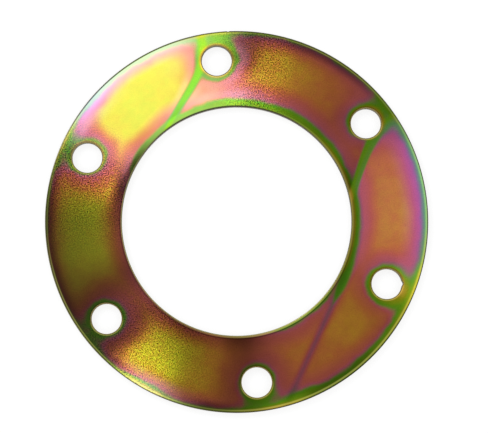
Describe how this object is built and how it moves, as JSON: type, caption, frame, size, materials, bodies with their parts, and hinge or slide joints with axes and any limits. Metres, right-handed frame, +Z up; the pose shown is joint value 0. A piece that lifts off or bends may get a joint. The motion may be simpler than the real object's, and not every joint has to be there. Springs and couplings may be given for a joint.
{
  "type": "laser cut steel flange",
  "caption": "Flat round steel flange with a large central bore and bolt holes evenly spaced on one circle.",
  "frame": {"origin": "centre of the bore in the plane of the underside", "axes": "+Z up the axis of the bore, away from the underside; +Y from the bore through the first bolt hole"},
  "size_m": [0.165, 0.165, 0.004],
  "materials": {
    "passivated_steel": "yellow passivated zinc on laser cut sheet steel, with green, violet and gold interference colours"
  },
  "bodies": {
    "root": {"flange_plate": "passivated_steel"}
  },
  "joints": []
}
